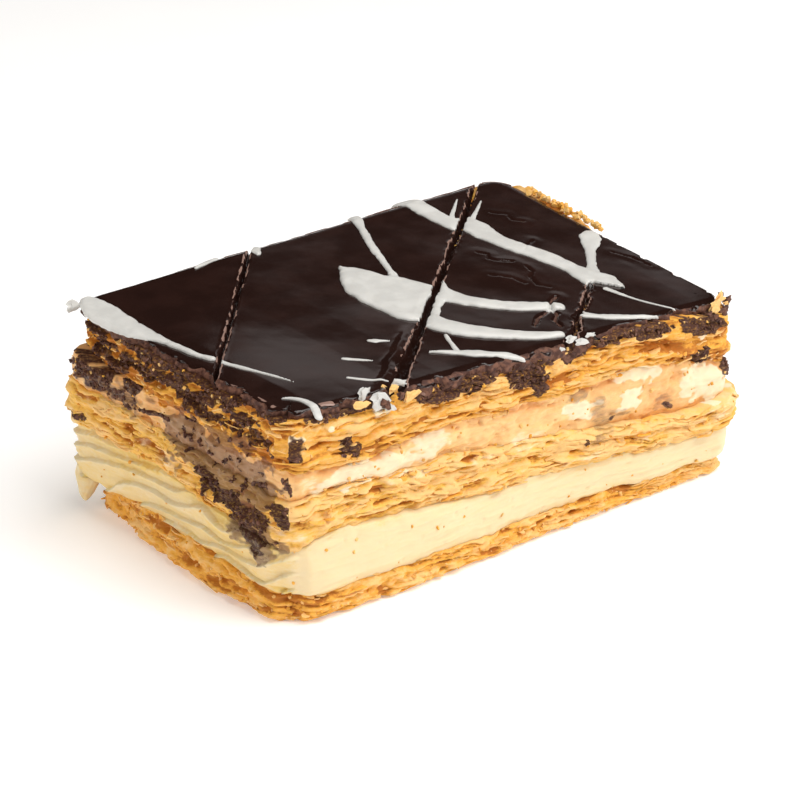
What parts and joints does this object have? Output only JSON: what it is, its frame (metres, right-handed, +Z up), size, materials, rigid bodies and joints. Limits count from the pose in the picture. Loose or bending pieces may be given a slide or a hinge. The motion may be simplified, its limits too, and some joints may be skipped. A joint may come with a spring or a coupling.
{
  "type": "chocolate senorita pastry slice",
  "caption": "Rectangular cut slice of layered flaky pastry with custard and cream fillings under a scored chocolate glaze with piped white icing lines",
  "frame": {"origin": "middle of the underside of the slice's bounding box", "axes": "+X along the long sides, +Y across the slice from the front cut side to the back, +Z up, the chocolate side up"},
  "size_m": [0.1224, 0.0784, 0.0469],
  "materials": {
    "pastry_bottom": "baked flaky pastry, dry and matte",
    "cream_lower": "custard, soft satin",
    "pastry_middle": "baked flaky pastry, moist from the creams",
    "cream_upper": "cream, soft satin",
    "pastry_top": "baked flaky pastry, crisp and matte",
    "glaze": "dark chocolate glaze, glossy, with off-white icing"
  },
  "bodies": {
    "root": {"pastry_bottom": "pastry_bottom", "cream_lower": "cream_lower", "pastry_middle": "pastry_middle", "cream_upper": "cream_upper", "pastry_top": "pastry_top", "glaze": "glaze"}
  },
  "joints": []
}
